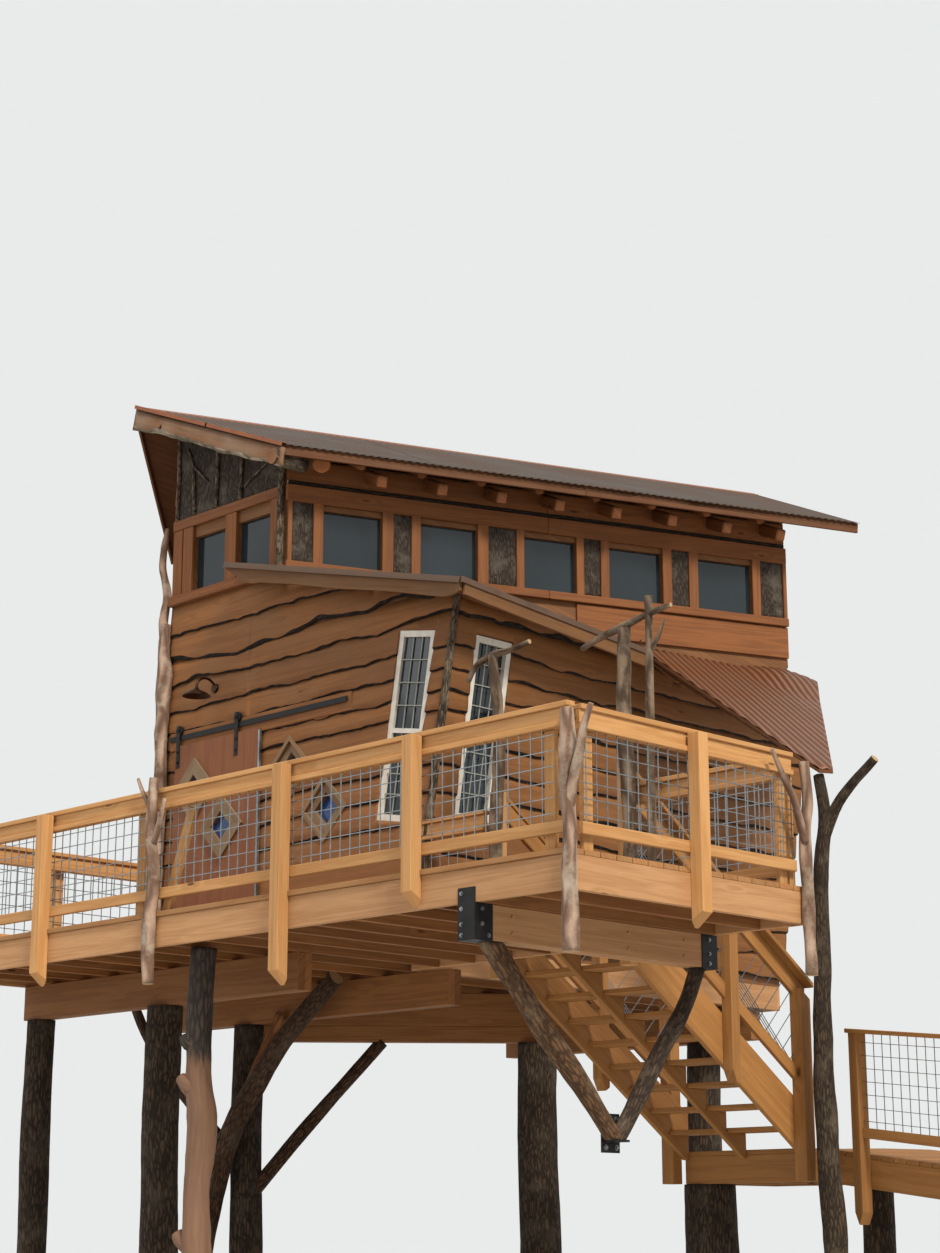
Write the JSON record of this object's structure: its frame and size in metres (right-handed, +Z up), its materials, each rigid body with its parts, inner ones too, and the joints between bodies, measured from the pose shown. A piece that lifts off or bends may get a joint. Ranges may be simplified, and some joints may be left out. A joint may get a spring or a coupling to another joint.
{
  "type": "tree house",
  "caption": "Raised wooden cabin on log posts with a railed balcony, a sliding plank door, skewed metal roofs, a stair down to a landing and a ramp.",
  "frame": {"origin": "middle of the foot of the log under the balcony's front edge, on the floor", "axes": "+X to the right along the balcony's front, +Y from the balcony into the cabin, +Z up"},
  "size_m": [9.7964, 8.8779, 9.4623],
  "materials": {
    "log_bark": "rough bark",
    "peeled_log": "peeled and weathered",
    "new_timber": "planed, oiled",
    "old_timber": "sawn, weathered",
    "siding": "oiled live-edge boards",
    "bark_board": "boards with the bark left on",
    "roof_metal": "corrugated, rust-brown",
    "black_steel": "matt black",
    "wire": "galvanized",
    "door_red": "matt red-brown",
    "white_frame": "white",
    "glass": "clear",
    "copper": "aged copper"
  },
  "bodies": {
    "house": {"front_log": "log_bark", "house_logs": "log_bark", "log_braces": "log_bark", "girders": "old_timber", "main_beam": "new_timber", "beam_brackets": "black_steel", "knee_braces": "peeled_log", "tree_bracket": "black_steel", "deck_joists": "old_timber", "deck_rim": "new_timber", "deck_boards": "new_timber", "cabin_floor": "old_timber", "wall_front_left": "siding", "wall_over_door": "siding", "wall_front_right": "siding", "wall_right": "siding", "wall_left": "siding", "wall_back": "siding", "upper_front_wall": "bark_board", "upper_long_wall": "bark_board", "tall_window_frames": "white_frame", "tall_window_glass": "glass", "clerestory_frames": "new_timber", "clerestory_glass": "glass", "diamond_frames": "new_timber", "diamond_glass": "glass", "corner_post": "peeled_log", "main_roof_low": "roof_metal", "main_roof_steep": "roof_metal", "ridge_cap": "roof_metal", "rafters": "old_timber", "main_fascia": "old_timber", "shed_roof": "roof_metal", "shed_fascia": "old_timber", "lean_to_roof": "roof_metal", "forked_post": "log_bark", "door_track": "black_steel", "barn_lamp": "copper", "railing_posts": "new_timber", "railing_rails": "new_timber", "front_mesh_right": "wire", "front_mesh_left": "wire", "right_mesh": "wire", "side_mesh": "wire", "balcony_logs": "peeled_log", "porch_logs": "peeled_log", "stair_stringers": "new_timber", "stair_treads": "new_timber", "stair_railing": "new_timber", "landing": "new_timber", "landing_logs": "log_bark", "ramp_deck": "new_timber", "ramp_legs": "log_bark", "ramp_railing": "new_timber"},
    "barn_door": {"door_panel": "door_red", "door_hangers": "black_steel", "door_glass": "glass"}
  },
  "joints": [
    {"name": "barn_door_slide", "type": "slide", "parent": "house", "child": "barn_door", "axis": [1, 0, 0], "range_m": [0, 1.05]}
  ]
}
